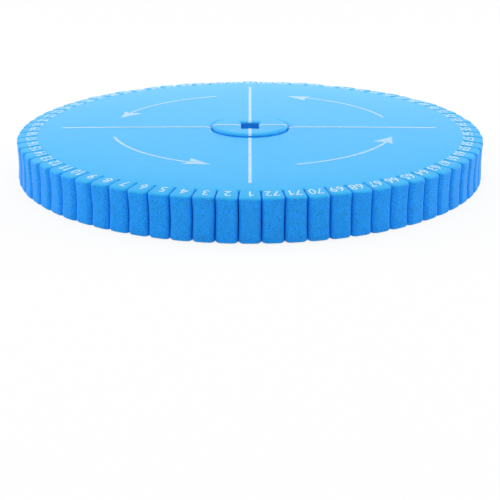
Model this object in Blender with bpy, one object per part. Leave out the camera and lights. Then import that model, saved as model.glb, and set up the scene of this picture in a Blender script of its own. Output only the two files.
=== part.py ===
"""Kumihimo disk: a thick foam disk with slots cut in from its rim, and the plug die cut from its middle.

The disk lies on z = 0 with its middle on the z axis, and tooth 1 faces -y. Sizes are in metres.
"""

import math
from collections import namedtuple

import bmesh
import bpy

# The foam sheet that the disk is cut from
DISK_DIAMETER = 0.245
SHEET_THICKNESS = 0.022

# The upper face stands a little high in the middle and falls towards the rim, most of all at the teeth
CROWN_HEIGHT = 0.0015
CROWN_FALL = 0.00065
TOOTH_DROOP = 0.00125
DROOP_POWER = 12
CROWN_RINGS = 4

# The slots and the teeth between them
SLOT_COUNT = 72
SLOT_LENGTH = 0.010
SLOT_WIDTH = 0.0004
TOOTH_CORNER_RADIUS = 0.0022
TOOTH_CORNER_STEPS = 2

# The rim between its lips is pressed slightly hollow by the cutting
RIM_HOLLOW = 0.00045

# The cut edges roll over at the upper face, and more at the lower face
UPPER_LIP_WIDTH = 0.0008
UPPER_LIP_HEIGHT = 0.0010
LOWER_LIP_WIDTH = 0.0014
LOWER_LIP_HEIGHT = 0.0013
LIP_STEPS = 2

# The round hole in the middle, and the plug that stands a little proud in it
CENTER_HOLE_DIAMETER = 0.0406
CENTER_HOLE_LIP_WIDTH = 0.0035
CENTER_HOLE_LIP_HEIGHT = 0.0012
PLUG_CLEARANCE = 0.0003
PLUG_LIFT = 0.0012
PLUG_EDGE_WIDTH = 0.0030
PLUG_EDGE_HEIGHT = 0.0021
PLUG_EDGE_STEPS = 4
PLUG_SEGMENTS = 72

# The hole that the braid passes through, longer from front to back than across
BRAID_HOLE_WIDTH = 0.0095
BRAID_HOLE_LENGTH = 0.0135
BRAID_HOLE_LIP_WIDTH = 0.0022
BRAID_HOLE_LIP_HEIGHT = 0.0011
BRAID_HOLE_LIP_STEPS = 3

SHARP_ANGLE = math.radians(40)
FOAM_BLUE = (0.130, 0.550, 0.940, 1.0)
FOAM_ROUGHNESS = 0.85

Station = namedtuple("Station", "height inset hollow crowned")


def remove_scene_objects():
    """Empty the scene that the script starts in."""
    for scene_object in list(bpy.data.objects):
        bpy.data.objects.remove(scene_object)


def lip(width, height, steps):
    """Return (inset, depth) along a quarter ellipse, from the flat face to the cut face."""
    angles = [math.pi / 2 * step / steps for step in range(steps + 1)]
    return [(width * (1 - math.sin(angle)), height * (1 - math.cos(angle))) for angle in angles]


def crown(x, y):
    """Return how far the upper face stands above the sheet's own thickness at a point."""
    share = math.hypot(x, y) / (DISK_DIAMETER / 2)
    return CROWN_HEIGHT - CROWN_FALL * share**2 - TOOTH_DROOP * share**DROOP_POWER


def circle(radius, angles):
    """Return the points of a circle about the z axis."""
    return [(radius * math.cos(angle), radius * math.sin(angle)) for angle in angles]


def braid_hole(inset, angles):
    """Return the points where rays from the z axis at the given angles meet the widened hole."""
    half_width = BRAID_HOLE_WIDTH / 2 + inset
    half_length = BRAID_HOLE_LENGTH / 2 + inset
    points = []
    for angle in angles:
        reach = 1 / max(abs(math.cos(angle)) / half_width, abs(math.sin(angle)) / half_length)
        points.append((reach * math.cos(angle), reach * math.sin(angle)))
    return points


def slot_angles():
    """Return the angle of each slot. The first two stand either side of tooth 1."""
    pitch = 2 * math.pi / SLOT_COUNT
    return [-math.pi / 2 + (slot + 0.5) * pitch for slot in range(SLOT_COUNT)]


def tooth_corner(rim_radius, half_width, side):
    """Return (out, across) along one rounded corner at a slot's mouth, from the rim to the slot."""
    across = half_width + TOOTH_CORNER_RADIUS
    out = math.sqrt((rim_radius - TOOTH_CORNER_RADIUS) ** 2 - across**2)
    rim_angle = math.atan2(across, out)
    points = []
    for step in range(TOOTH_CORNER_STEPS + 1):
        angle = rim_angle - (math.pi / 2 + rim_angle) * step / TOOTH_CORNER_STEPS
        corner_out = out + TOOTH_CORNER_RADIUS * math.cos(angle)
        corner_across = across + TOOTH_CORNER_RADIUS * math.sin(angle)
        points.append((corner_out, side * corner_across))
    return points


def toothed_outline(inset, hollow):
    """Return the disk's outline at one height, with every cut edge moved into the foam by the inset."""
    rim_radius = DISK_DIAMETER / 2 - inset - hollow
    half_width = SLOT_WIDTH / 2 + inset
    tip_radius = DISK_DIAMETER / 2 - SLOT_LENGTH - inset
    wall_end = tip_radius + half_width
    slot_outline = tooth_corner(rim_radius, half_width, -1)
    slot_outline += [(wall_end, -half_width), (tip_radius, 0.0), (wall_end, half_width)]
    slot_outline += reversed(tooth_corner(rim_radius, half_width, 1))
    points = []
    for angle in slot_angles():
        for out, across in slot_outline:
            x = out * math.cos(angle) - across * math.sin(angle)
            y = out * math.sin(angle) + across * math.cos(angle)
            points.append((x, y))
    return points


def rim_stations():
    """Return the heights at which the toothed outline is drawn, from the lower face to the upper one."""
    lower_lip = lip(LOWER_LIP_WIDTH, LOWER_LIP_HEIGHT, LIP_STEPS)
    upper_lip = lip(UPPER_LIP_WIDTH, UPPER_LIP_HEIGHT, LIP_STEPS)
    stations = [Station(depth, inset, 0.0, False) for inset, depth in lower_lip]
    stations.append(Station(SHEET_THICKNESS / 2, 0.0, RIM_HOLLOW, False))
    for inset, depth in reversed(upper_lip):
        stations.append(Station(SHEET_THICKNESS - depth, inset, 0.0, True))
    return stations


def add_ring(bm, points, height, crowned=False):
    """Add one ring of vertices at a height, which follows the crown of the upper face if crowned."""
    return [bm.verts.new((x, y, height + (crown(x, y) if crowned else 0.0))) for x, y in points]


def bridge(bm, first_ring, second_ring):
    """Join two rings with the same number of vertices by a band of quads."""
    count = len(first_ring)
    for index in range(count):
        following = (index + 1) % count
        bm.faces.new((first_ring[index], first_ring[following], second_ring[following], second_ring[index]))


def bridge_all(bm, rings):
    """Join each ring to the one after it."""
    for first_ring, second_ring in zip(rings, rings[1:]):
        bridge(bm, first_ring, second_ring)


def add_disk_face(bm, outline, inner_rings):
    """Fill a face of the disk: one polygon for each tooth, and bands of quads from there to the hole."""
    points_per_slot = len(outline) // SLOT_COUNT
    tip = points_per_slot // 2
    slot_tips = outline[tip::points_per_slot]
    for slot in range(SLOT_COUNT):
        start = slot * points_per_slot + tip
        tooth = [outline[(start + step) % len(outline)] for step in range(points_per_slot + 1)]
        bm.faces.new(tooth)
    bridge_all(bm, [slot_tips, *inner_rings])


def crown_rings(bm):
    """Add the rings that carry the crown between the slots and the hole, from the outside in."""
    outer = DISK_DIAMETER / 2 - SLOT_LENGTH
    inner = CENTER_HOLE_DIAMETER / 2
    step = (outer - inner) / (CROWN_RINGS + 1)
    radii = [outer - step * ring for ring in range(1, CROWN_RINGS + 1)]
    return [add_ring(bm, circle(radius, slot_angles()), SHEET_THICKNESS, True) for radius in radii]


def foam_material(name):
    """Return a matt blue foam material."""
    material = bpy.data.materials.new(name)
    material.use_nodes = True
    shader = material.node_tree.nodes["Principled BSDF"]
    shader.inputs["Base Color"].default_value = FOAM_BLUE
    shader.inputs["Roughness"].default_value = FOAM_ROUGHNESS
    shader.inputs["Metallic"].default_value = 0.0
    return material


def finish_object(bm, name, material):
    """Turn a closed mesh into a named object of the scene."""
    bmesh.ops.recalc_face_normals(bm, faces=bm.faces)
    bmesh.ops.triangulate(bm, faces=bm.faces)
    mesh = bpy.data.meshes.new(name)
    bm.to_mesh(mesh)
    bm.free()
    mesh.shade_smooth()
    mesh.set_sharp_from_angle(angle=SHARP_ANGLE)
    mesh.materials.append(material)
    part = bpy.data.objects.new(name, mesh)
    bpy.context.collection.objects.link(part)
    return part


def build_disk():
    """Build the slotted disk with the round hole in its middle."""
    bm = bmesh.new()
    rim_rings = []
    for station in rim_stations():
        outline = toothed_outline(station.inset, station.hollow)
        rim_rings.append(add_ring(bm, outline, station.height, station.crowned))
    bridge_all(bm, rim_rings)

    hole_rings = []
    hole_lip = lip(CENTER_HOLE_LIP_WIDTH, CENTER_HOLE_LIP_HEIGHT, LIP_STEPS)
    for inset, depth in hole_lip:
        points = circle(CENTER_HOLE_DIAMETER / 2 + inset, slot_angles())
        hole_rings.append(add_ring(bm, points, depth))
    for inset, depth in reversed(hole_lip):
        points = circle(CENTER_HOLE_DIAMETER / 2 + inset, slot_angles())
        hole_rings.append(add_ring(bm, points, SHEET_THICKNESS - depth, True))
    bridge_all(bm, hole_rings)

    add_disk_face(bm, rim_rings[0], hole_rings[:1])
    add_disk_face(bm, rim_rings[-1], [*crown_rings(bm), hole_rings[-1]])
    return finish_object(bm, "slotted_foam_disk", foam_material("disk_foam"))


def build_plug():
    """Build the round plug with its hole for the braid, as thick as the disk is at its middle."""
    angles = [2 * math.pi * segment / PLUG_SEGMENTS for segment in range(PLUG_SEGMENTS)]
    radius = CENTER_HOLE_DIAMETER / 2 - PLUG_CLEARANCE
    bottom = PLUG_LIFT
    top = PLUG_LIFT + SHEET_THICKNESS + crown(radius, 0.0)
    edge = lip(PLUG_EDGE_WIDTH, PLUG_EDGE_HEIGHT, PLUG_EDGE_STEPS)
    hole_lip = lip(BRAID_HOLE_LIP_WIDTH, BRAID_HOLE_LIP_HEIGHT, BRAID_HOLE_LIP_STEPS)

    bm = bmesh.new()
    rings = [add_ring(bm, circle(radius - inset, angles), bottom + depth) for inset, depth in edge]
    rings += [add_ring(bm, circle(radius - inset, angles), top - depth) for inset, depth in reversed(edge)]
    rings += [add_ring(bm, braid_hole(inset, angles), top - depth) for inset, depth in hole_lip]
    rings += [add_ring(bm, braid_hole(inset, angles), bottom + depth) for inset, depth in reversed(hole_lip)]
    bridge_all(bm, rings + rings[:1])
    return finish_object(bm, "center_plug", foam_material("plug_foam"))


def main():
    """Build the two pieces."""
    remove_scene_objects()
    build_disk()
    build_plug()


main()
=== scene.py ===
"""Kumihimo disk: the blue foam, its white print, the studio and the camera.

Lengths are in metres. The disk lies on z = 0 with its middle on the z axis, and tooth 1 faces -y.
"""

import logging
import math
from collections.abc import Callable, Iterator
from contextlib import contextmanager
from dataclasses import dataclass, field
from enum import Enum
from typing import ClassVar

import bmesh
import bpy
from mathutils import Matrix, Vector


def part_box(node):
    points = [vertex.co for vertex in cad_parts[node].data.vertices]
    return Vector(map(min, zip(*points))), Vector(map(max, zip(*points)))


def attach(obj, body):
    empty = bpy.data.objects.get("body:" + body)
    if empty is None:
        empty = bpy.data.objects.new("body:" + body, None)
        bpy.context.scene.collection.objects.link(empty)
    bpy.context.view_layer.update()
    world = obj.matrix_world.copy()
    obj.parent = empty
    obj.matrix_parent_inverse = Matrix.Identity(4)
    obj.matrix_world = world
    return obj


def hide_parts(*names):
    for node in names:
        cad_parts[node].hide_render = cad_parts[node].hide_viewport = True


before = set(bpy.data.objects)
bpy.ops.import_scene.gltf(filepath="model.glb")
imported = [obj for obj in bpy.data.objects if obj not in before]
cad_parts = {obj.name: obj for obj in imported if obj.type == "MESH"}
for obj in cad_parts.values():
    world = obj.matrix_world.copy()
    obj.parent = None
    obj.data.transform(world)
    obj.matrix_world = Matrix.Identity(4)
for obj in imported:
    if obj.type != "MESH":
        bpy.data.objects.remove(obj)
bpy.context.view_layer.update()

log = logging.getLogger("kumihimo_disk")

BODY = "root"
DISK_NODE = "slotted_foam_disk"
PLUG_NODE = "center_plug"
ORIGIN = (0.0, 0.0, 0.0)
UP = (0.0, 0.0, 1.0)
MERGE_DISTANCE = 1e-6
LOOSE_MERGE_DISTANCE = 1e-5
SMOOTH_ANGLE = math.radians(50)

# The leans of the surface between which skin turns to cut, over a slot's lip and a round edge:
# painted shade that darkens the foam as it turns away from the face, besides the cut's own colour
LIP_FADE = (0.15, 0.70)
EDGE_FADE = (0.25, 0.85)

Color = tuple[float, float, float]
Point = tuple[float, float]
Piece = bpy.types.Object
Socket = bpy.types.NodeSocket
Inputs = dict[str | int, object]


class Slot(Enum):
    """Material slots of the record."""

    FOAM = "blue_foam"
    INK = "white_ink"


class Face(Enum):
    """The two faces of the foam sheet, by the direction that each one looks in."""

    UPPER = 1
    LOWER = -1


def select_alone(piece: Piece) -> None:
    """Select one piece and nothing else."""
    bpy.ops.object.select_all(action="DESELECT")
    piece.select_set(True)
    bpy.context.view_layer.objects.active = piece


def select_all(state: bool = True) -> None:
    """Select all of the mesh in edit mode, or nothing of it."""
    bpy.ops.mesh.select_all(action="SELECT" if state else "DESELECT")


@contextmanager
def editing(piece: Piece) -> Iterator[None]:
    """Keep one piece alone in edit mode for the length of a block.

    Args:
        piece: The mesh object to edit.

    Returns:
        Nothing while the block runs.
    """
    select_alone(piece)
    bpy.ops.object.mode_set(mode="EDIT")
    try:
        yield
    finally:
        bpy.ops.object.mode_set(mode="OBJECT")


def pick_level(piece: Piece, height: float, rule: Callable[[Vector], bool]) -> None:
    """Select, in edit mode, the vertices at one height whose place meets a rule, and their edges.

    Args:
        piece: The mesh object in edit mode.
        height: The height.
        rule: Tells from a vertex's place whether it is selected.
    """
    bpy.ops.mesh.select_mode(type="VERT")
    shape = bmesh.from_edit_mesh(piece.data)
    for vertex in shape.verts:
        vertex.select_set(abs(vertex.co.z - height) < MERGE_DISTANCE and rule(vertex.co))
    shape.select_flush_mode()
    bmesh.update_edit_mesh(piece.data)


def pick_face(piece: Piece, side: Face) -> None:
    """Select, in edit mode, the one large polygon that closes a piece at its top or bottom.

    Args:
        piece: The mesh object in edit mode.
        side: Which end of the piece is meant.
    """
    bpy.ops.mesh.select_mode(type="FACE")
    select_all(False)
    shape = bmesh.from_edit_mesh(piece.data)
    end = max(shape.faces, key=lambda face: side.value * face.calc_center_median().z)
    end.select_set(True)
    bmesh.update_edit_mesh(piece.data)


def new_piece(name: str) -> Piece:
    """Add a piece that starts as one vertex at the origin.

    Args:
        name: The piece's name.

    Returns:
        The new mesh object.
    """
    bpy.ops.object.select_all(action="DESELECT")
    bpy.ops.mesh.primitive_plane_add(location=ORIGIN)
    piece = bpy.context.object
    piece.name = name
    piece.data.name = name
    with editing(piece):
        select_all()
        bpy.ops.mesh.merge(type="CENTER")
    return piece


def extrude(offset: Vector) -> None:
    """Extrude what is selected in edit mode by an offset."""
    bpy.ops.mesh.extrude_region_move(TRANSFORM_OT_translate={"value": offset})


def widen(across: float, along: float) -> None:
    """Scale what is selected in edit mode away from the z axis, to the side and to the front."""
    bpy.ops.transform.resize(value=(across, along, 1.0), center_override=ORIGIN)


def draw_line(points: list[Vector]) -> None:
    """Draw a chain of edges in edit mode, from the one vertex at the origin.

    Args:
        points: The places of the chain's vertices.
    """
    select_all()
    bpy.ops.transform.translate(value=points[0])
    for start, end in zip(points, points[1:]):
        extrude(end - start)


def lathe_on(profile: list[Point], longer: float = 0.0) -> None:
    """Extrude the selected ring of edges through the points of a profile, about the z axis.

    Args:
        profile: Radius and height of the selected ring, and of each further one.
        longer: How much further each ring reaches to the front and back than to the sides.
    """
    for (radius, height), (next_radius, next_height) in zip(profile, profile[1:]):
        extrude(Vector((0.0, 0.0, next_height - height)))
        widen(next_radius / radius, (next_radius + longer) / (radius + longer))


def apply_modifier(piece: Piece, kind: str, **settings: object) -> None:
    """Give a piece a modifier, and apply it.

    Args:
        piece: The mesh object.
        kind: The modifier's type.
        **settings: The modifier's own values.
    """
    modifier = piece.modifiers.new(kind.lower(), kind)
    for key, value in settings.items():
        setattr(modifier, key, value)
    select_alone(piece)
    bpy.ops.object.modifier_apply(modifier=modifier.name)


def displace(piece: Piece, share: Callable[[Vector], float], **settings: object) -> None:
    """Displace the vertices of a piece, each by its own share of the modifier's strength.

    Args:
        piece: The mesh object.
        share: Tells a vertex's share from its place.
        **settings: The modifier's own values.
    """
    group = piece.vertex_groups.new(name="share")
    for vertex in piece.data.vertices:
        group.add([vertex.index], share(vertex.co), "REPLACE")
    apply_modifier(piece, "DISPLACE", vertex_group=group.name, **settings)
    piece.vertex_groups.clear()


def join(pieces: list[Piece], name: str) -> Piece:
    """Join several mesh objects into one piece.

    Args:
        pieces: The objects to join.
        name: The name of the joined piece.

    Returns:
        The joined piece.
    """
    bpy.ops.object.select_all(action="DESELECT")
    for piece in pieces:
        piece.select_set(True)
    bpy.context.view_layer.objects.active = pieces[0]
    bpy.ops.object.join()
    joined = bpy.context.object
    joined.name = name
    joined.data.name = name
    return joined


def settle(piece: Piece) -> None:
    """Put a piece's place, turn and size into its mesh."""
    select_alone(piece)
    bpy.ops.object.transform_apply(location=True, rotation=True, scale=True)


def turn_outward(piece: Piece, merge_within: float = 0.0) -> None:
    """Point all the faces of a piece outwards.

    Args:
        piece: The mesh object.
        merge_within: Distance within which doubled vertices are merged first.
    """
    with editing(piece):
        select_all()
        if merge_within:
            bpy.ops.mesh.remove_doubles(threshold=merge_within)
        bpy.ops.mesh.normals_make_consistent(inside=False)


def dress_piece(piece: Piece, material: bpy.types.Material) -> None:
    """Smooth a finished piece, give it its material, and let it ride on the disk's body.

    Args:
        piece: The mesh object, which is the active one.
        material: Its material.
    """
    bpy.ops.object.shade_smooth_by_angle(angle=SMOOTH_ANGLE)
    piece.data.materials.clear()
    piece.data.materials.append(material)
    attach(piece, BODY)


@dataclass(frozen=True)
class EdgeRoll:
    """A cut edge of the foam that rolls over from a wall to a face, as a quarter of an ellipse.

    Args:
        width: How far the roll reaches into the face.
        height: How far it reaches down the wall.
        steps: How many flats make the roll.
        shoulder: Width and rise of each gentler flat between the roll and the face.
    """

    width: float
    height: float
    steps: int
    shoulder: tuple[Point, ...] = ()

    def drop(self) -> float:
        """Return how far the end of the wall lies below the face."""
        return self.height + sum(rise for _, rise in self.shoulder)

    def points(self) -> list[Point]:
        """Return (inset, depth) along the roll and its shoulder, from the wall to the face."""
        depth = self.drop() - self.height
        points = []
        for step in range(self.steps + 1):
            turn = math.pi / 2 * step / self.steps
            inset = self.width * (1 - math.cos(turn))
            points.append((inset, depth + self.height * (1 - math.sin(turn))))
        for width, rise in self.shoulder:
            depth -= rise
            points.append((points[-1][0] + width, depth))
        return points

    def inset_face(self, growth: float = 1.0) -> None:
        """Roll the border of the selected polygon over, in edit mode.

        Args:
            growth: How much the polygon grows about the z axis besides, from the wall to the face.
        """
        points = self.points()
        for (inset, depth), (next_inset, next_depth) in zip(points, points[1:]):
            bpy.ops.mesh.inset(thickness=next_inset - inset, depth=depth - next_depth)
            share = (min(next_inset, self.width) - min(inset, self.width)) / self.width
            widen(growth**share, growth**share)


@dataclass(frozen=True)
class Crown:
    """How the upper face stands high in the middle and falls to the rim, most of all at the teeth.

    Args:
        radius: Radius of the rim.
        fall: How far the face falls from the middle to the rim in one even curve.
        droop: How far the teeth fall besides.
        power: How late they start to fall.
    """

    radius: float
    fall: float = 0.00065
    droop: float = 0.00125
    power: int = 12

    def height(self) -> float:
        """Return how far the middle stands above the rim."""
        return self.fall + self.droop

    def at(self, radius: float) -> float:
        """Return how far the face stands above its rim at a radius."""
        share = radius / self.radius
        return self.fall * (1 - share**2) + self.droop * (1 - share**self.power)


@dataclass(frozen=True)
class Wiring:
    """The node tree of a material or of the world, and how nodes are added to it.

    Args:
        tree: The node tree.
    """

    tree: bpy.types.NodeTree

    def fill(self, node: bpy.types.Node, inputs: Inputs) -> None:
        """Link each input of a node that is given a socket, and set the others to their value.

        Args:
            node: The node.
            inputs: The sockets and values, by the name or number of the input.
        """
        for key, value in inputs.items():
            if isinstance(value, Socket):
                self.tree.links.new(value, node.inputs[key])
            else:
                node.inputs[key].default_value = value

    def add(self, kind: str, output: str, inputs: Inputs, **settings: object) -> Socket:
        """Add a node.

        Args:
            kind: The shader node's type.
            output: The name of the output that is wanted.
            inputs: The sockets and values of its inputs.
            **settings: The node's own settings.

        Returns:
            The output's socket.
        """
        node = self.tree.nodes.new(f"ShaderNode{kind}")
        for key, value in settings.items():
            setattr(node, key, value)
        self.fill(node, inputs)
        return node.outputs[output]

    def object_place(self) -> Socket:
        """Return the socket of the Object coordinates."""
        return self.add("TexCoord", "Object", {})

    def math(self, operation: str, *values: object, clamp: bool = False) -> Socket:
        """Return the socket of a sum that takes sockets and plain values."""
        inputs = dict(enumerate(values))
        return self.add("Math", "Value", inputs, operation=operation, use_clamp=clamp)

    def level(self, value: Socket, span: Point, since: Point = (0.0, 1.0)) -> Socket:
        """Return the socket that brings a value from one span to another.

        Args:
            value: The socket to read.
            span: The span of the result.
            since: The span of the value.

        Returns:
            The socket of the result.
        """
        names = ("From Min", "From Max", "To Min", "To Max")
        return self.add("MapRange", "Result", {"Value": value, **dict(zip(names, since + span))})

    def noise(self, size: float, detail: float, roughness: float = 0.5) -> Socket:
        """Return the socket of a noise that is fixed to the piece, with patches of a size."""
        inputs = {"Scale": 1.0 / size, "Detail": detail, "Roughness": roughness}
        return self.add("TexNoise", "Fac", {"Vector": self.object_place(), **inputs})

    def blend(self, share: Socket, first: Color, second: Color) -> Socket:
        """Return the socket of a mix of two colours."""
        inputs = {"Factor": share, "A": (*first, 1.0), "B": (*second, 1.0)}
        return self.add("Mix", "Result", inputs, data_type="RGBA")

    def bump(self, height: Socket, distance: float, strength: object) -> Socket:
        """Return the socket of a normal that a height bends."""
        inputs = {"Height": height, "Distance": distance, "Strength": strength}
        return self.add("Bump", "Normal", inputs)

    def seen_directly(self) -> Socket:
        """Return a socket that is 1 for rays that see a surface, and 0 for the light of it."""
        path = self.tree.nodes.new("ShaderNodeLightPath")
        total = path.outputs["Is Camera Ray"]
        for name in ("Is Glossy Ray", "Is Transmission Ray"):
            total = self.math("ADD", total, path.outputs[name], clamp=True)
        return total


def new_material(
    name: str, roughness: float, gloss: float
) -> tuple[bpy.types.Material, Wiring, bpy.types.Node]:
    """Add a material.

    Args:
        name: The material's name.
        roughness: Its roughness.
        gloss: Strength of the mirrored light.

    Returns:
        The material, its wiring and its shader.
    """
    material = bpy.data.materials.new(name)
    material.use_nodes = True
    wiring = Wiring(material.node_tree)
    shader = material.node_tree.nodes["Principled BSDF"]
    wiring.fill(shader, {"Roughness": roughness, "Specular IOR Level": gloss})
    return material, wiring, shader


@dataclass(frozen=True)
class FoamFinish:
    """Closed-cell foam: a pale smooth skin on the sheet's faces, and a deeper cut on its edges.
    The pale faces also carry painted light, and the deep walls and rolled edges painted shade,
    besides the foam's own skin and cut.

    Args:
        name: The material's name.
        skin: Colour of the sheet's faces, made paler by painted light.
        cut: Colour of the cut walls, made deeper by painted shade.
        roughness: Roughness of the foam.
        gloss: Strength of the mirrored light.
        sheen: Weight of the soft bloom that the fine cells give at a low angle.
        sheen_roughness: Roughness of that bloom.
        cell: Size of a cell.
        speck: How strongly the colour changes from cell to cell, on the skin and on the cut.
        relief: How deep the cells are, on the skin and on the cut.
        mottle: Size of the patches in which the colour drifts.
        drift: The least and the greatest shade of those patches.
    """

    name: str = "blue_foam"
    skin: Color = (0.030, 0.435, 0.860)
    cut: Color = (0.012, 0.315, 0.900)
    roughness: float = 0.5
    gloss: float = 0.14
    sheen: float = 0.01
    sheen_roughness: float = 0.5
    cell: float = 0.0005
    speck: Point = (0.36, 1.76)
    relief: Point = (0.25, 0.7)
    mottle: float = 0.006
    drift: Point = (0.94, 1.06)

    def material(self) -> bpy.types.Material:
        """Return the foam's material. It reads the cut_and_shade_share attribute of the piece's mesh."""
        material, wiring, shader = new_material(self.name, self.roughness, self.gloss)
        share = wiring.add("Attribute", "Fac", {}, attribute_name="cut_and_shade_share")
        # Blend skin into cut by how far the surface leans: painted light on the faces and painted
        # shade on walls and rolled edges, besides the foam's own two tones.
        base = wiring.blend(share, self.skin, self.cut)
        grain = wiring.math("SUBTRACT", wiring.noise(self.cell, 2.0, 0.6), 0.5)
        drift = wiring.level(wiring.noise(self.mottle, 3.0), self.drift)
        shade = wiring.math("MULTIPLY_ADD", grain, wiring.level(share, self.speck), drift)
        inputs = {0: base, "Scale": shade}
        color = wiring.add("VectorMath", "Vector", inputs, operation="SCALE")
        inputs = {"Vector": wiring.object_place(), "Scale": 1.0 / self.cell}
        pores = wiring.add("TexVoronoi", "Distance", inputs)
        normal = wiring.bump(pores, self.cell / 4, wiring.level(share, self.relief))
        wiring.fill(
            shader,
            {
                "Base Color": color,
                "Normal": normal,
                "Sheen Weight": self.sheen,
                "Sheen Roughness": self.sheen_roughness,
            },
        )
        return material


@dataclass(frozen=True)
class InkFinish:
    """Thin white screen ink, through which a little of the foam's blue shows.

    Args:
        name: The material's name.
        color: The ink's colour where it lies thick.
        thin: Its colour where it lies thin.
        roughness: Roughness of the dry ink.
        gloss: Strength of the mirrored light.
        patch: Size of the patches in which its cover varies.
        cover: The values of the patches' noise at which it lies thin, and thick.
        relief: Height of the ink's unevenness, and how strongly it shows.
    """

    name: str
    color: Color
    thin: Color
    roughness: float = 0.6
    gloss: float = 0.15
    patch: float = 0.0015
    cover: Point = (0.35, 0.60)
    relief: Point = (0.00005, 0.2)

    def material(self) -> bpy.types.Material:
        """Return the ink's material."""
        material, wiring, shader = new_material(self.name, self.roughness, self.gloss)
        noise = wiring.noise(self.patch, 4.0)
        cover = wiring.level(noise, (0.0, 1.0), self.cover)
        color = wiring.blend(cover, self.thin, self.color)
        wiring.fill(shader, {"Base Color": color, "Normal": wiring.bump(noise, *self.relief)})
        return material


@dataclass
class FoamPiece:
    """What the two foam pieces share: they are dressed in one finish, and smoothed alike.

    Args:
        finish: The foam's finish.
    """

    finish: FoamFinish
    name: ClassVar[str]
    node: ClassVar[str]

    def mark_cut_faces(self, piece: Piece) -> None:
        """Store on each vertex how much of a cut wall it is, from 0 on a face to 1 on a wall, by
        how far its surface leans. It gives the walls and rolled lips the cut's own colour together
        with painted shade.

        Args:
            piece: The foam piece.
        """
        share = piece.data.attributes.new("cut_and_shade_share", "FLOAT", "POINT")
        for vertex in piece.data.vertices:
            normal = vertex.normal
            outward = Vector((vertex.co.x, vertex.co.y, 0.0)).normalized()
            facing = normal.dot(outward) ** 2 / max(1 - normal.z**2, MERGE_DISTANCE)
            start = LIP_FADE[0] + (EDGE_FADE[0] - LIP_FADE[0]) * facing
            end = LIP_FADE[1] + (EDGE_FADE[1] - LIP_FADE[1]) * facing
            # How far the surface leans from the face sets the painted shade, together with the
            # cut's own colour.
            lean = min(max((1 - abs(normal.z) - start) / (end - start), 0.0), 1.0)
            share.data[vertex.index].value = lean * lean * (3 - 2 * lean)

    def shape(self, piece: Piece) -> None:
        """Shape one kind of foam piece, which starts as one vertex at the origin."""
        raise NotImplementedError

    def dress(self, piece: Piece) -> None:
        """Smooth the finished foam, give it its material, and let it stand for its solid.

        Args:
            piece: The foam piece.
        """
        turn_outward(piece, MERGE_DISTANCE)
        dress_piece(piece, self.finish.material())
        self.mark_cut_faces(piece)
        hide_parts(self.node)

    def build(self) -> Piece:
        """Build and dress the foam piece.

        Returns:
            The finished piece.
        """
        piece = new_piece(self.name)
        self.shape(piece)
        self.dress(piece)
        return piece


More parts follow.
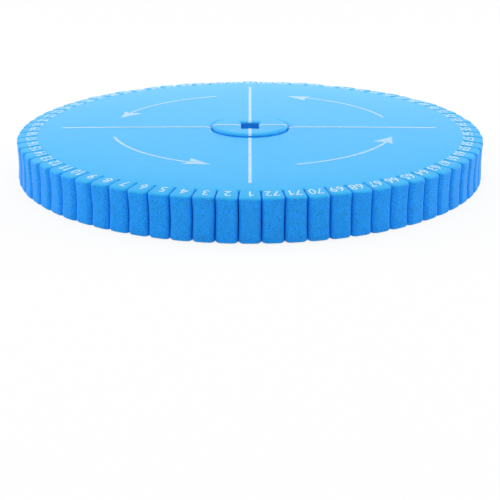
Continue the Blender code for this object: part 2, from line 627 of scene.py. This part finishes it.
@dataclass
class SlottedDisk(FoamPiece):
    """The slotted disk, drawn as one tooth, repeated round the axis and pulled up into a sheet.

    Args:
        crown: Shape of the upper face.
        disk_radius: Radius of the disk.
        thickness: Thickness of the sheet at its rim.
        hole_radius: Radius of the round hole in the middle.
        slot_count: Number of slots, and of teeth.
        slot_length: Length of a slot from the rim.
        slot_width: Width to which a slot closes at its lips.
        slot_hollow: How far each wall of a slot is pressed in at half height.
        slot_end_width: Width to which a slot gapes at its inner end.
        slot_end_length: Length over which it gapes.
        corner_radius: Radius of a tooth's two upright corners.
        corner_steps: Flats in such a corner.
        rim_steps: Flats in half a tooth's outer side.
        wall_steps: Lengths in one wall of a slot.
        hollow: How far the rim is pressed in at half height.
        hollow_steps: Rings between the two lips of the rim.
        upper_roll: Roll of the slots' edges at the upper face.
        upper_rim_inset: How far the rim rolls in at the upper face.
        lower_roll: Roll of the slots' edges at the lower face.
        lower_rim_inset: How far the rim rolls in at the lower face.
        hole_roll: Roll of the edges of the hole in the middle.
        flat_margin: Width of the ring that keeps the upper face flat up to that roll.
        field_radius: Radius inside which the faces are made of plain rings.
        field_segments: Segments of those rings.
        field_rings: Rings of the upper face.
        wear: How far the teeth are uneven.
        wear_patch: Size of the patches in which they are.
    """

    crown: Crown
    disk_radius: float
    thickness: float
    hole_radius: float
    slot_count: int = 72
    slot_length: float = 0.010
    slot_width: float = 0.00012
    slot_hollow: float = 0.00011
    slot_end_width: float = 0.0009
    slot_end_length: float = 0.0028
    corner_radius: float = 0.0027
    corner_steps: int = 7
    rim_steps: int = 5
    wall_steps: int = 4
    hollow: float = 0.00045
    hollow_steps: int = 8
    upper_roll: EdgeRoll = EdgeRoll(0.0010, 0.0013, 5, ((0.0007, 0.00001),))
    upper_rim_inset: float = 0.0010
    lower_roll: EdgeRoll = EdgeRoll(0.0013, 0.0016, 5)
    lower_rim_inset: float = 0.0022
    hole_roll: EdgeRoll = EdgeRoll(0.0035, 0.0012, 6)
    flat_margin: float = 0.0005
    field_radius: float = 0.109
    field_segments: int = 360
    field_rings: int = 18
    wear: float = 0.0008
    wear_patch: float = 0.014
    name: ClassVar[str] = "foam_disk"
    node: ClassVar[str] = DISK_NODE

    @property
    def _wall(self) -> Point:
        """The heights between which the walls stand upright."""
        return self.lower_roll.drop(), self.thickness - self.upper_roll.drop()

    def _at_slot(self, out: float, across: float) -> Vector:
        """Return a point by its distance out along the slot right of tooth 1, and across it."""
        angle = math.pi / self.slot_count
        outward = Vector((math.sin(angle), -math.cos(angle), 0.0))
        sideways = Vector((math.cos(angle), math.sin(angle), 0.0))
        return outward * out + sideways * across

    def _half_tooth(self) -> list[Vector]:
        """Return the plan of tooth 1's right half, from its outer side to the tip of the slot."""
        half_width = self.slot_width / 2
        across = half_width + self.corner_radius
        out = math.sqrt((self.disk_radius - self.corner_radius) ** 2 - across**2)
        rim_angle = math.atan2(across, out)
        span = math.pi / self.slot_count - rim_angle
        points = []
        for step in range(self.rim_steps):
            angle = span * step / self.rim_steps
            side = Vector((math.sin(angle), -math.cos(angle), 0.0))
            points.append(side * self.disk_radius)
        for step in range(self.corner_steps + 1):
            turn = rim_angle - (math.pi / 2 + rim_angle) * step / self.corner_steps
            corner_out = out + self.corner_radius * math.cos(turn)
            corner_across = across + self.corner_radius * math.sin(turn)
            points.append(self._at_slot(corner_out, -corner_across))
        tip = self.disk_radius - self.slot_length
        gape_start = tip + self.slot_end_length
        for step in range(1, self.wall_steps + 1):
            wall_out = out + (gape_start - out) * step / self.wall_steps
            points.append(self._at_slot(wall_out, -half_width))
        gape = self.slot_end_width / 2
        neck = (half_width / gape + 1) / 2
        for out_share, across_share in ((1.8, neck), (1.0, 1.0), (0.3, 0.7), (0.0, 0.0)):
            points.append(self._at_slot(tip + gape * out_share, -gape * across_share))
        return points

    def _draw_plan(self, piece: Piece) -> None:
        """Draw tooth 1, repeat it round the axis, and close the outline with one polygon.

        Args:
            piece: The disk, as one vertex at the origin.
        """
        right = self._half_tooth()
        left = [Vector((-point.x, point.y, 0.0)) for point in reversed(right)]
        with editing(piece):
            draw_line(left + right[1:])
            select_all()
            bpy.ops.mesh.spin(
                dupli=True, steps=self.slot_count, angle=2 * math.pi, center=ORIGIN, axis=UP
            )
            select_all()
            bpy.ops.mesh.remove_doubles(threshold=LOOSE_MERGE_DISTANCE)
            bpy.ops.mesh.edge_face_add()

    def _raise_rim(self, piece: Piece) -> None:
        """Pull the outline up between the lips, hollowed at half height, and roll both lips over.

        Args:
            piece: The disk, as one flat polygon.
        """
        low, high = self._wall
        profile = []
        for step in range(self.hollow_steps + 1):
            share = step / self.hollow_steps
            hollow = self.hollow * math.sin(math.pi * share)
            profile.append((self.disk_radius - hollow, low + (high - low) * share))
        with editing(piece):
            select_all()
            bpy.ops.transform.translate(value=(0.0, 0.0, low))
            lathe_on(profile)
            select_all()
            bpy.ops.mesh.normals_make_consistent(inside=False)
            for side, roll, rim_inset in (
                (Face.UPPER, self.upper_roll, self.upper_rim_inset),
                (Face.LOWER, self.lower_roll, self.lower_rim_inset),
            ):
                pick_face(piece, side)
                roll.inset_face(1 - (rim_inset - roll.width) / self.disk_radius)
                bpy.ops.mesh.delete(type="ONLY_FACE")

    def _turn_field(self, piece: Piece) -> None:
        """Turn the plain part of the disk, with the round hole, and fill out to the teeth.

        Args:
            piece: The disk, as its rim alone.
        """
        edge = self.hole_radius + self.hole_roll.width + self.flat_margin
        step = (self.field_radius - edge) / self.field_rings
        rings = range(self.field_rings + 1)
        profile = [(self.field_radius - step * ring, self.thickness) for ring in rings]
        roll = self.hole_roll.points()
        profile += [(self.hole_radius + i, self.thickness - d) for i, d in reversed(roll)]
        profile += [(self.hole_radius + i, d) for i, d in roll]
        profile += [(self.field_radius, 0.0)]

        def at_edge(place: Vector) -> bool:
            """Tell whether a place is at the outer edge of the field or beyond it."""
            return math.hypot(place.x, place.y) > self.field_radius - MERGE_DISTANCE

        with editing(piece):
            bpy.ops.mesh.select_mode(type="EDGE")
            select_all(False)
            bpy.ops.mesh.primitive_circle_add(
                vertices=self.field_segments,
                radius=self.field_radius,
                location=(0.0, 0.0, self.thickness),
            )
            lathe_on(profile)
            for height in (self.thickness, 0.0):
                pick_level(piece, height, at_edge)
                bpy.ops.mesh.fill(use_beauty=True)

    def _wall_share(self, place: Vector) -> float:
        """Return how fully a point of a slot's wall is pressed in, most of all at half height.

        Args:
            place: The point's place.

        Returns:
            Its share, from 0 to 1.
        """
        low, high = self._wall
        radius = math.hypot(place.x, place.y)
        share = (place.z - low) / (high - low)
        if radius < self.field_radius + MERGE_DISTANCE or not 0.0 < share < 1.0:
            return 0.0
        pitch = 2 * math.pi / self.slot_count
        turn = (math.atan2(place.y, place.x) + math.pi / 2) % pitch - pitch / 2
        across = abs(radius * math.sin(turn)) - self.slot_width / 2
        near = min(max(1 - across / self.corner_radius, 0.0), 1.0)
        return near**3 * math.sqrt(math.sin(math.pi * share))

    def _swell_share(self, place: Vector) -> float:
        """Return how fully a point rises with the crown. The walls follow with their height."""
        rise = self.crown.at(math.hypot(place.x, place.y)) / self.crown.height()
        return max(rise * place.z / self.thickness, 0.0)

    def _wear_share(self, place: Vector) -> float:
        """Return how fully a point of a tooth is worn. At the table it is not worn at all."""
        inward = self.disk_radius - math.hypot(place.x, place.y)
        share = min(max(1 - inward / self.slot_length, 0.0), 1.0)
        return share * min(max(place.z, 0.0) / self.lower_roll.drop(), 1.0)

    def shape(self, piece: Piece) -> None:
        """Shape the disk, then open its slots, raise its crown and wear its teeth a little.

        Args:
            piece: The disk, as one vertex at the origin.
        """
        self._draw_plan(piece)
        self._raise_rim(piece)
        self._turn_field(piece)
        turn_outward(piece)
        hollow = -self.slot_hollow
        displace(piece, self._wall_share, direction="NORMAL", mid_level=0.0, strength=hollow)
        rise = self.crown.height()
        displace(piece, self._swell_share, direction="Z", mid_level=0.0, strength=rise)
        clouds = bpy.data.textures.new("tooth_drift", "CLOUDS")
        clouds.noise_scale = self.wear_patch
        clouds.noise_depth = 1
        displace(
            piece,
            self._wear_share,
            texture=clouds,
            texture_coords="LOCAL",
            direction="RGB_TO_XYZ",
            strength=self.wear,
        )


@dataclass
class CenterPlug(FoamPiece):
    """The round plug, pushed up a little, with the hole for the braid.

    Args:
        radius: Radius of the plug.
        bottom: Height of its lower face.
        top: Height of its upper face.
        hole_width: Width of the hole for the braid.
        hole_length: Length of that hole, from front to back.
        edge_roll: Roll of the plug's round edges.
        hole_roll: Roll of the hole's edges.
        segments: Segments of each ring, a multiple of four.
    """

    radius: float
    bottom: float
    top: float
    hole_width: float = 0.0095
    hole_length: float = 0.0135
    edge_roll: EdgeRoll = EdgeRoll(0.0024, 0.0013, 8, ((0.0004, 0.00001),))
    hole_roll: EdgeRoll = EdgeRoll(0.0022, 0.0011, 6, ((0.0004, 0.00001),))
    segments: int = 144
    name: ClassVar[str] = "foam_center_plug"
    node: ClassVar[str] = PLUG_NODE

    def _raise_body(self, piece: Piece) -> None:
        """Draw the round outline, pull it up, and roll both of its edges over.

        Args:
            piece: The plug, as one vertex at the origin.
        """
        low = self.bottom + self.edge_roll.drop()
        high = self.top - self.edge_roll.drop()
        with editing(piece):
            select_all()
            bpy.ops.mesh.delete(type="VERT")
            bpy.ops.mesh.primitive_circle_add(
                vertices=self.segments,
                radius=self.radius,
                location=(0.0, 0.0, low),
                fill_type="NGON",
            )
            lathe_on([(self.radius, low), (self.radius, high)])
            select_all()
            bpy.ops.mesh.normals_make_consistent(inside=False)
            for side in Face:
                pick_face(piece, side)
                self.edge_roll.inset_face()
                bpy.ops.mesh.delete(type="ONLY_FACE")

    def _cut_hole(self, piece: Piece) -> None:
        """Add the hole's walls with their rolled edges, and join them to the round body.

        Args:
            piece: The plug, as its round side alone.
        """
        roll = self.hole_roll.points()
        wall = self.hole_width / 2
        longer = (self.hole_length - self.hole_width) / 2
        profile = [(wall + inset, self.top - depth) for inset, depth in reversed(roll)]
        profile += [(wall + inset, self.bottom + depth) for inset, depth in roll]
        half_width = wall + roll[-1][0]
        half_length = half_width + longer
        flat = self.radius - self.edge_roll.points()[-1][0]

        def at_border(place: Vector) -> bool:
            """Tell whether a place at the height of a face borders on the face's flat ring."""
            inside = max(abs(place.x) - half_width, abs(place.y) - half_length) < MERGE_DISTANCE
            return inside or math.hypot(place.x, place.y) > flat - LOOSE_MERGE_DISTANCE

        with editing(piece):
            bpy.ops.mesh.select_mode(type="EDGE")
            select_all(False)
            bpy.ops.mesh.primitive_circle_add(
                vertices=4,
                radius=half_width * math.sqrt(2),
                location=(0.0, 0.0, self.top),
                rotation=(0.0, 0.0, math.pi / 4),
            )
            widen(1.0, half_length / half_width)
            bpy.ops.mesh.subdivide(number_cuts=self.segments // 4 - 1)
            lathe_on(profile, longer)
            for height in (self.top, self.bottom):
                pick_level(piece, height, at_border)
                bpy.ops.mesh.bridge_edge_loops()

    def shape(self, piece: Piece) -> None:
        """Shape the plug."""
        self._raise_body(piece)
        self._cut_hole(piece)


@dataclass
class Print:
    """What all the print shares: a thin film of ink that is laid on the foam from above.

    Args:
        disk: The disk that carries the print.
        plug: The plug that carries the middle of the cross.
        finish: The ink's finish.
        above: A height above the whole object, from which the print is laid.
        rise: How far the film's upper side lies above the foam.
        film: Thickness of the film.
        stretch: Length of the print from front to back, against its drawing.
    """

    disk: Piece
    plug: Piece
    finish: InkFinish
    above: float
    rise: float = 0.00006
    film: float = 0.00005
    stretch: float = 1.016
    name: ClassVar[str]

    def place(self, radius: float, angle: float) -> Vector:
        """Return a point above the foam by its radius and its angle from the front to the left."""
        return Vector((-radius * math.sin(angle), -radius * math.cos(angle), self.above))

    def lay(self, flat: Piece, foam: Piece) -> None:
        """Lay a flat shape on the foam below it, and give it the film's thickness.

        Args:
            flat: The flat shape, above the foam.
            foam: The foam piece that it is printed on.
        """
        flat.scale.y = self.stretch
        settle(flat)
        apply_modifier(
            flat,
            "SHRINKWRAP",
            target=foam,
            wrap_method="PROJECT",
            use_project_z=True,
            use_negative_direction=True,
            use_positive_direction=False,
            offset=self.rise,
        )
        self._bring_down(flat)
        apply_modifier(flat, "SOLIDIFY", thickness=self.film, offset=-1.0)

    def _bring_down(self, flat: Piece) -> None:
        """Bring points that hang over a slot down to the height of the nearest one on the foam.

        Args:
            flat: The shape that has been laid on the foam.
        """
        places = [vertex.co for vertex in flat.data.vertices]
        laid = [place for place in places if place.z < self.above - self.film]
        for place in places:
            if place.z >= self.above - self.film:
                place.z = min(laid, key=lambda other: (other.xy - place.xy).length).z

    def dress(self, piece: Piece) -> None:
        """Give a finished piece of print its ink, and let it ride on the disk.

        Args:
            piece: The print.
        """
        turn_outward(piece)
        dress_piece(piece, self.finish.material())

    def shapes(self) -> list[Piece]:
        """Return the laid shapes of one kind of print."""
        raise NotImplementedError

    def build(self) -> Piece:
        """Lay and dress one kind of print.

        Returns:
            The finished print.
        """
        piece = join(self.shapes(), self.name)
        self.dress(piece)
        return piece


@dataclass
class PrintedCross(Print):
    """The cross: four arms from the braid hole over the plug's edge and out over the disk.

    Args:
        width: Width of the lines.
        start_along: Radius at which the front and back arms start, at the edge of the braid hole.
        start_across: Radius at which the side arms start.
        plug_end: Radius at which an arm leaves the plug.
        disk_start: Radius at which it goes on over the disk.
        reaches: Radii at which the front, right, back and left arms end.
        step: Length of the pieces in which an arm follows the foam.
    """

    width: float = 0.00155
    start_along: float = 0.0069
    start_across: float = 0.0050
    plug_end: float = 0.0196
    disk_start: float = 0.0207
    reaches: tuple[float, ...] = (0.1006, 0.0990, 0.0988, 0.0999)
    step: float = 0.0005
    name: ClassVar[str] = "printed_cross"

    def _arm(self, foam: Piece, span: Point, quarter: int) -> Piece:
        """Lay one arm's length on one foam piece.

        Args:
            foam: The foam piece.
            span: The radii between which the arm lies on it.
            quarter: Number of quarter turns from the front.

        Returns:
            The arm.
        """
        start, end = span
        steps = round((end - start) / self.step)
        piece = new_piece("arm")
        with editing(piece):
            sides = (-self.width / 2, 0.0, self.width / 2)
            draw_line([Vector((side, -start, self.above)) for side in sides])
            select_all()
            for _ in range(steps):
                extrude(Vector((0.0, (start - end) / steps, 0.0)))
        piece.rotation_euler.z = quarter * math.pi / 2
        settle(piece)
        self.lay(piece, foam)
        return piece

    def shapes(self) -> list[Piece]:
        """Return the four arms, each in two lengths.

        Returns:
            The arms.
        """
        arms = []
        for quarter, reach in enumerate(self.reaches):
            start = self.start_across if quarter % 2 else self.start_along
            arms.append(self._arm(self.plug, (start, self.plug_end), quarter))
            arms.append(self._arm(self.disk, (self.disk_start, reach), quarter))
        return arms


@dataclass
class PrintedArrows(Print):
    """The four curved arrows, which turn counterclockwise seen from above.

    Args:
        radius: Radius of the shaft's middle line.
        width: Width of the shaft.
        tail: Angle of the tail from the front, towards the left.
        neck: Angle at which the shaft meets the head.
        barb: Angle of the head's rear corners.
        tip: Angle of the tip.
        barb_radii: Radii of the head's inner and outer rear corner.
        tip_radius: Radius of the tip.
        shift: How far the four stand off the middle, to the right and to the back.
        steps: Lengths in the shaft.
        cuts: Cuts with which the head follows the foam.
    """

    radius: float = 0.0746
    width: float = 0.0015
    tail: float = math.radians(73.7)
    neck: float = math.radians(24.6)
    barb: float = math.radians(26.2)
    tip: float = math.radians(15.7)
    barb_radii: Point = (0.0682, 0.0790)
    tip_radius: float = 0.0749
    shift: Point = (0.0014, 0.0010)
    steps: int = 48
    cuts: int = 6
    name: ClassVar[str] = "printed_arrows"

    def _arrow(self, quarter: int) -> Piece:
        """Draw one arrow and lay it on the disk.

        Args:
            quarter: Number of quarter turns from the front left.

        Returns:
            The arrow.
        """
        inner = self.radius - self.width / 2
        outer = self.radius + self.width / 2
        flats = self.cuts + 1
        across = [inner + self.width * flat / flats for flat in range(flats + 1)]
        shaft = new_piece("shaft")
        with editing(shaft):
            draw_line([self.place(radius, self.tail) for radius in across])
            select_all()
            turn = self.neck - self.tail
            bpy.ops.mesh.spin(steps=self.steps, angle=turn, center=ORIGIN, axis=UP)
        head = new_piece("head")
        with editing(head):
            outline = (
                (outer, self.neck),
                (self.barb_radii[1], self.barb),
                (self.tip_radius, self.tip),
                (self.barb_radii[0], self.barb),
                (inner, self.neck),
            )
            draw_line([self.place(radius, angle) for radius, angle in outline])
            select_all()
            bpy.ops.mesh.edge_face_add()
            bpy.ops.mesh.quads_convert_to_tris()
            bpy.ops.mesh.subdivide(number_cuts=self.cuts)
        piece = join([shaft, head], "arrow")
        turn_outward(piece, LOOSE_MERGE_DISTANCE)
        piece.rotation_euler.z = quarter * math.pi / 2
        piece.location = (*self.shift, 0.0)
        settle(piece)
        self.lay(piece, self.disk)
        return piece

    def shapes(self) -> list[Piece]:
        """Return the four arrows."""
        return [self._arrow(quarter) for quarter in range(4)]


@dataclass
class PrintedNumerals(Print):
    """The numerals, one on each tooth, which count clockwise from the front, tops outward.

    Args:
        count: Number of teeth.
        foot_radius: Radius of the numerals' feet.
        height: Height of the numerals.
        squeeze: Width of the numerals against the font's own, at the most.
        widths: The greatest width of a numeral with one digit, and with two.
        digit_share: Height of a digit against the font's size.
        curve_steps: Lengths in each curve of the font's outline.
        bar_share: Width of the bar of a 1, in heights of a digit.
        flag: Outline of the flag of a 1, from the top left of its bar, in heights of a digit.
    """

    count: int = 72
    foot_radius: float = 0.1120
    height: float = 0.0056
    squeeze: float = 0.95
    widths: Point = (0.0038, 0.0066)
    digit_share: float = 0.7
    curve_steps: int = 4
    bar_share: float = 0.115
    flag: tuple[Point, ...] = ((0.0, 0.0), (-0.26, -0.22), (-0.26, -0.34), (0.0, -0.17))
    name: ClassVar[str] = "printed_numerals"

    def _add_flags(self, text: Piece, digits: str) -> Piece:
        """Give each 1 at the start or end of a numeral its flag, which the plain font lacks.

        Args:
            text: The numeral's mesh.
            digits: What it reads.

        Returns:
            The numeral with its flags.
        """
        places = [vertex.co for vertex in text.data.vertices]
        top = max(place.y for place in places)
        starts = []
        if digits[0] == "1":
            starts.append(min(place.x for place in places))
        if digits[-1] == "1" and len(digits) > 1:
            starts.append(max(place.x for place in places) - self.bar_share * top)
        parts = [text]
        for start in starts:
            flag = new_piece("flag")
            with editing(flag):
                draw_line([Vector((start + x * top, top + y * top, 0.0)) for x, y in self.flag])
                select_all()
                bpy.ops.mesh.edge_face_add()
            parts.append(flag)
        return join(parts, "numeral")

    def _numeral(self, number: int) -> Piece:
        """Write one numeral and lay it on its tooth.

        Args:
            number: The number to write.

        Returns:
            The numeral.
        """
        angle = 2 * math.pi * (number - 1) / self.count
        bpy.ops.object.select_all(action="DESELECT")
        bpy.ops.object.text_add()
        text = bpy.context.object
        text.data.body = str(number)
        text.data.align_x = "CENTER"
        text.data.size = self.height / self.digit_share
        text.data.resolution_u = self.curve_steps
        bpy.ops.object.convert(target="MESH")
        text = self._add_flags(text, str(number))
        text.location = self.place(self.foot_radius, angle)
        text.rotation_euler.z = -math.pi - angle
        text.scale.x = min(self.squeeze, self.widths[number > 9] / text.dimensions.x)
        settle(text)
        self.lay(text, self.disk)
        return text

    def shapes(self) -> list[Piece]:
        """Return the numerals from 1 up."""
        return [self._numeral(number) for number in range(1, self.count + 1)]


@dataclass(frozen=True)
class Softbox:
    """A rectangular lamp that faces the disk.

    Args:
        name: The lamp's name.
        place: Where it hangs.
        size: Its width and height.
        power: Its power in watts.
    """

    name: str
    place: tuple[float, float, float]
    size: Point
    power: float

    def hang(self) -> None:
        """Add the lamp."""
        bpy.ops.object.light_add(type="AREA", location=self.place)
        lamp = bpy.context.object
        lamp.name = self.name
        lamp.data.shape = "RECTANGLE"
        lamp.data.size, lamp.data.size_y = self.size
        lamp.data.energy = self.power
        lamp.rotation_euler = (-Vector(self.place)).to_track_quat("-Z", "Y").to_euler()


@dataclass
class Studio:
    """A white floor, soft lamps, and the camera that looks from where the photograph was taken.

    Args:
        disk_radius: Radius of the disk.
        thickness: Thickness of the disk at its rim.
        distance: Camera's distance from the middle of the upper face, in disk radii.
        elevation: Its elevation as seen from there.
        aim_below: How far below that middle it aims.
        focal_pixels: Focal length in pixels of the frame.
        frame_pixels: Side of the frame in pixels.
        sensor: Width of the sensor in millimetres.
        near: Distance from which the camera sees.
        floor_size: Side of the floor.
        floor_shade: How white the floor is where it shows the shadow.
        world_strength: Strength of the even light from all round.
        shadow_share: How much of the disk's shadow the white floor shows.
        contact: Width of the ring under the rim in which the floor turns from white to shade.
        lamps: The soft lamps.
    """

    disk_radius: float
    thickness: float
    distance: float = 5.5987
    elevation: float = math.radians(14.289)
    aim_below: float = math.radians(5.361)
    focal_pixels: float = 1282.07
    frame_pixels: float = 500.0
    sensor: float = 36.0
    near: float = 0.01
    floor_size: float = 6.0
    floor_shade: float = 0.92
    world_strength: float = 0.46
    shadow_share: float = 0.12
    contact: float = 0.003
    lamps: tuple[Softbox, ...] = (
        Softbox("ceiling_softbox", (0.0, 0.2, 1.5), (1.4, 1.4), 8.5),
        Softbox("left_softbox", (-1.45, 0.35, 0.5), (1.0, 1.0), 11.0),
        Softbox("right_softbox", (1.45, 0.35, 0.5), (1.0, 1.0), 11.0),
        Softbox("front_softbox", (-0.3, -1.6, 0.8), (1.0, 1.0), 5.2),
        Softbox("back_softbox", (0.0, 0.45, 0.09), (0.5, 0.1), 0.4),
    )

    def _camera(self) -> None:
        """Set up the camera."""
        reach = self.distance * self.disk_radius
        depth = reach * math.cos(self.elevation)
        height = self.thickness + reach * math.sin(self.elevation)
        tilt = math.pi / 2 - self.elevation - self.aim_below
        bpy.ops.object.camera_add(location=(0.0, -depth, height), rotation=(tilt, 0.0, 0.0))
        camera = bpy.context.object
        camera.data.sensor_width = self.sensor
        camera.data.lens = self.focal_pixels * self.sensor / self.frame_pixels
        camera.data.clip_start = self.near
        bpy.context.scene.camera = camera

    def _floor(self) -> None:
        """Lay the white floor, which keeps the disk's shadow."""
        bpy.ops.object.select_all(action="DESELECT")
        bpy.ops.mesh.primitive_plane_add(size=self.floor_size, location=ORIGIN)
        floor = bpy.context.object
        floor.name = "floor"
        material, wiring, shader = new_material("white_floor", 1.0, 0.0)
        shade = (self.floor_shade, self.floor_shade, self.floor_shade, 1.0)
        wiring.fill(shader, {"Base Color": shade})
        white = wiring.add("Emission", "Emission", {})
        inputs = {0: wiring.object_place()}
        radius = wiring.add("VectorMath", "Value", inputs, operation="LENGTH")
        edge = self.disk_radius - self.contact
        beyond = wiring.level(radius, (0.0, 1.0 - self.shadow_share), (edge - self.contact, edge))
        share = wiring.math("MULTIPLY", wiring.seen_directly(), beyond)
        inputs = {"Fac": share, 1: shader.outputs["BSDF"], 2: white}
        surface = wiring.add("MixShader", "Shader", inputs)
        wiring.fill(material.node_tree.nodes["Material Output"], {"Surface": surface})
        floor.data.materials.append(material)

    def _world(self) -> None:
        """Light the disk evenly from all round, and show white behind it."""
        world = bpy.data.worlds.new("studio")
        world.use_nodes = True
        wiring = Wiring(world.node_tree)
        strength = wiring.level(wiring.seen_directly(), (self.world_strength, 1.0))
        inputs = {"Color": (1.0, 1.0, 1.0, 1.0), "Strength": strength}
        wiring.fill(world.node_tree.nodes["Background"], inputs)
        bpy.context.scene.world = world

    def build(self) -> None:
        """Set up the floor, the lights and the camera."""
        self._floor()
        self._world()
        for lamp in self.lamps:
            lamp.hang()
        self._camera()
        bpy.context.scene.view_settings.view_transform = "Standard"


@dataclass
class KumihimoDisk:
    """The whole disk: the foam pieces and their print.

    Args:
        thickness: Thickness of the sheet.
        middle_rise: How much thicker the disk is in the middle.
        disk_radius: Radius of the disk.
        hole_radius: Radius of the round hole for the plug.
        plug_fit: How far the soft plug's side lies outside its solid's.
        foam: Finish of the foam.
        line_ink: Ink of the cross.
        arrow_ink: Ink of the arrows, which lies thinner.
        numeral_ink: Ink of the numerals, which lies thicker.
    """

    thickness: float = 0.022
    middle_rise: float = 0.0015
    disk_radius: float = 0.1225
    hole_radius: float = 0.0203
    plug_fit: float = 0.00003
    foam: FoamFinish = field(default_factory=FoamFinish)
    line_ink: InkFinish = InkFinish("white_ink_lines", (0.54, 0.74, 0.87), (0.42, 0.64, 0.83))
    arrow_ink: InkFinish = InkFinish("white_ink_arrows", (0.46, 0.69, 0.86), (0.31, 0.59, 0.82))
    numeral_ink: InkFinish = InkFinish(
        "white_ink_numerals", (0.66, 0.82, 0.92), (0.46, 0.68, 0.85)
    )

    def build(self) -> list[Piece]:
        """Build all the pieces.

        Returns:
            The pieces.
        """
        crown = Crown(self.disk_radius)
        rim_thickness = self.thickness + self.middle_rise - crown.height()
        sizes = (self.disk_radius, rim_thickness, self.hole_radius)
        disk = SlottedDisk(self.foam, crown, *sizes).build()
        low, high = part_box(PLUG_NODE)
        plug = CenterPlug(self.foam, high.x + self.plug_fit, low.z, high.z).build()
        pieces = [disk, plug]
        above = high.z + self.thickness
        for kind, ink in (
            (PrintedCross, self.line_ink),
            (PrintedArrows, self.arrow_ink),
            (PrintedNumerals, self.numeral_ink),
        ):
            pieces.append(kind(disk, plug, ink, above).build())
        return pieces


def main() -> None:
    """Build the disk and the studio, and report each piece."""
    logging.basicConfig(level=logging.INFO, format="%(name)s: %(message)s")
    disk = KumihimoDisk()
    for piece in disk.build():
        piece.data.calc_loop_triangles()
        log.info("%s: %d triangles", piece.name, len(piece.data.loop_triangles))
    Studio(disk.disk_radius, disk.thickness).build()


if __name__ == "__main__":
    main()
